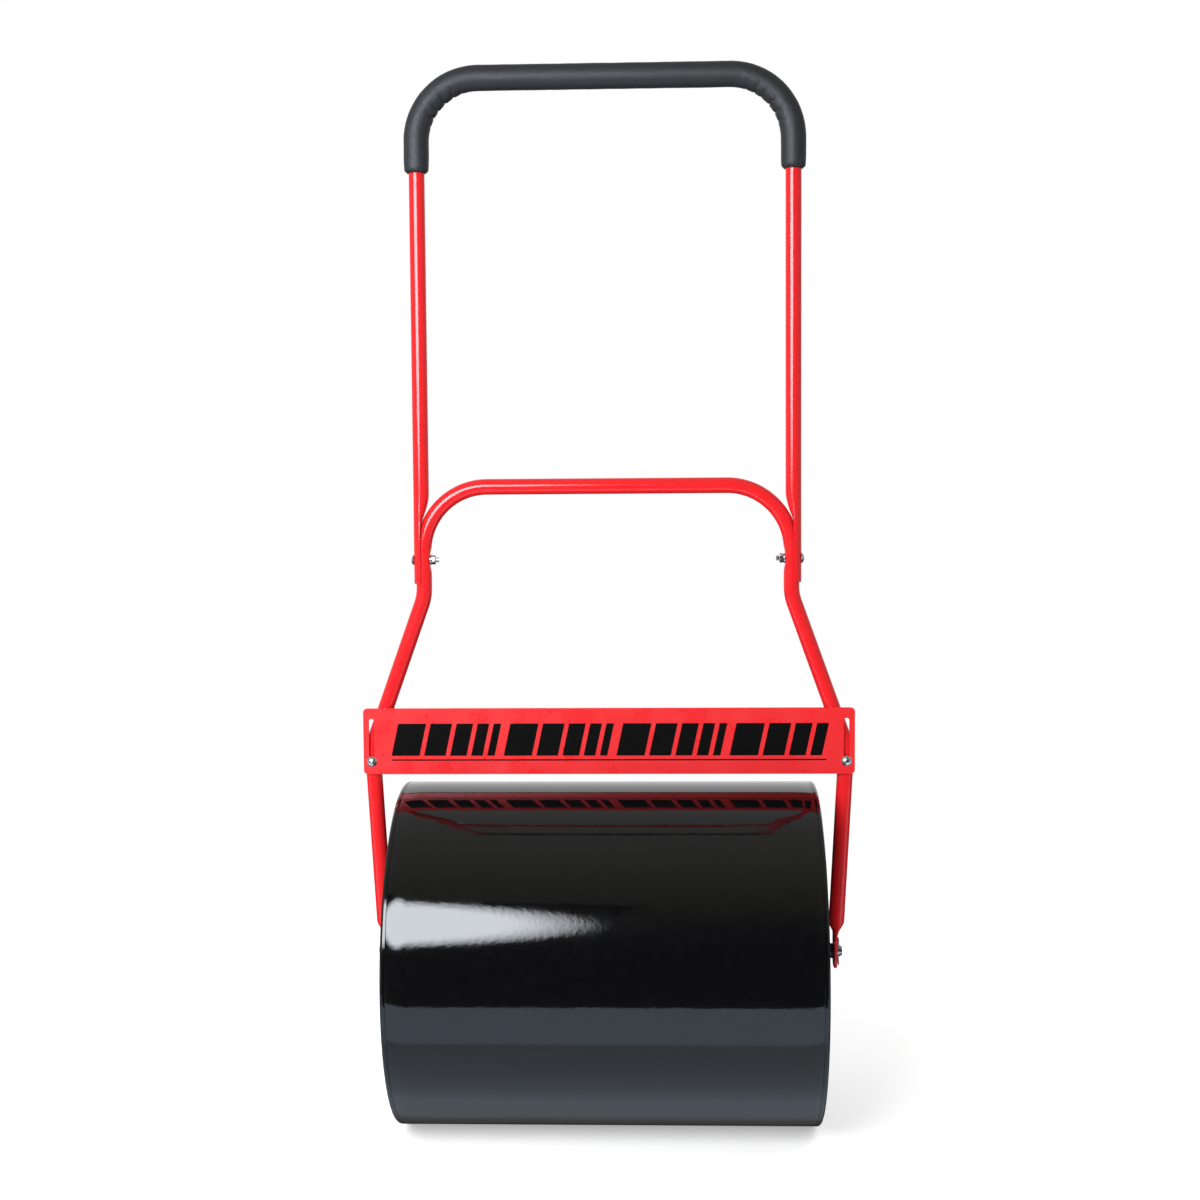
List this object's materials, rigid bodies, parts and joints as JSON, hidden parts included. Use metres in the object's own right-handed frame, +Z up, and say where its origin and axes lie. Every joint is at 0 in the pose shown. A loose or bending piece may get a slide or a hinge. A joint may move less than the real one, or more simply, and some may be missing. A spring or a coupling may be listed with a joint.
{
  "type": "lawn roller",
  "caption": "Push lawn roller with a ballast drum in a bent tube frame, a foam-gripped handle and an adjustable scraper plate.",
  "frame": {"origin": "on the ground under the middle of the axle", "axes": "+Z up, +X along the axle with the filler at its end, the scraper plate on the -Y side"},
  "size_m": [0.592, 0.41, 1.268],
  "materials": {
    "drum_paint": "gloss",
    "frame_paint": "gloss",
    "plate_paint": "satin",
    "foam": "matte",
    "zinc": "bright zinc plate",
    "axle_steel": "satin",
    "black_nylon": "satin",
    "plug_plastic": "satin",
    "seal_rubber": "matte"
  },
  "bodies": {
    "frame": {"arm_bush_left": "black_nylon", "arm_bush_right": "black_nylon", "lower_frame": "frame_paint", "handle_tube": "frame_paint", "foam_grip": "foam", "handle_bolt_left": "zinc", "handle_bolt_right": "zinc", "handle_washer_left": "zinc", "handle_washer_right": "zinc", "handle_nut_left": "zinc", "handle_nut_right": "zinc", "scraper_bolt_left": "zinc", "scraper_bolt_right": "zinc", "scraper_washer_left": "zinc", "scraper_washer_right": "zinc", "scraper_nut_left": "zinc", "scraper_nut_right": "zinc"},
    "drum": {"drum_shell": "drum_paint", "drum_end_left": "drum_paint", "drum_end_right": "drum_paint", "hub_plate_left": "drum_paint", "hub_plate_right": "drum_paint", "hub_boss_left": "drum_paint", "hub_boss_right": "drum_paint", "axle": "axle_steel", "split_pin_left": "zinc", "split_pin_right": "zinc", "filler_neck": "drum_paint"},
    "scraper": {"scraper_plate": "plate_paint"},
    "plug": {"filler_seal": "seal_rubber", "filler_plug": "plug_plastic"}
  },
  "joints": [
    {"name": "drum_roll", "type": "hinge", "parent": "frame", "child": "drum", "pos_m": [0, 0, 0.205], "axis": [1, 0, 0], "continuous": true},
    {"name": "scraper_slide", "type": "slide", "parent": "frame", "child": "scraper", "axis": [0, 0, 1], "range_m": [-0.0128, 0.0018]},
    {"name": "plug_unscrew", "type": "slide", "parent": "drum", "child": "plug", "axis": [1, 0, 0], "range_m": [0, 0.03]}
  ]
}
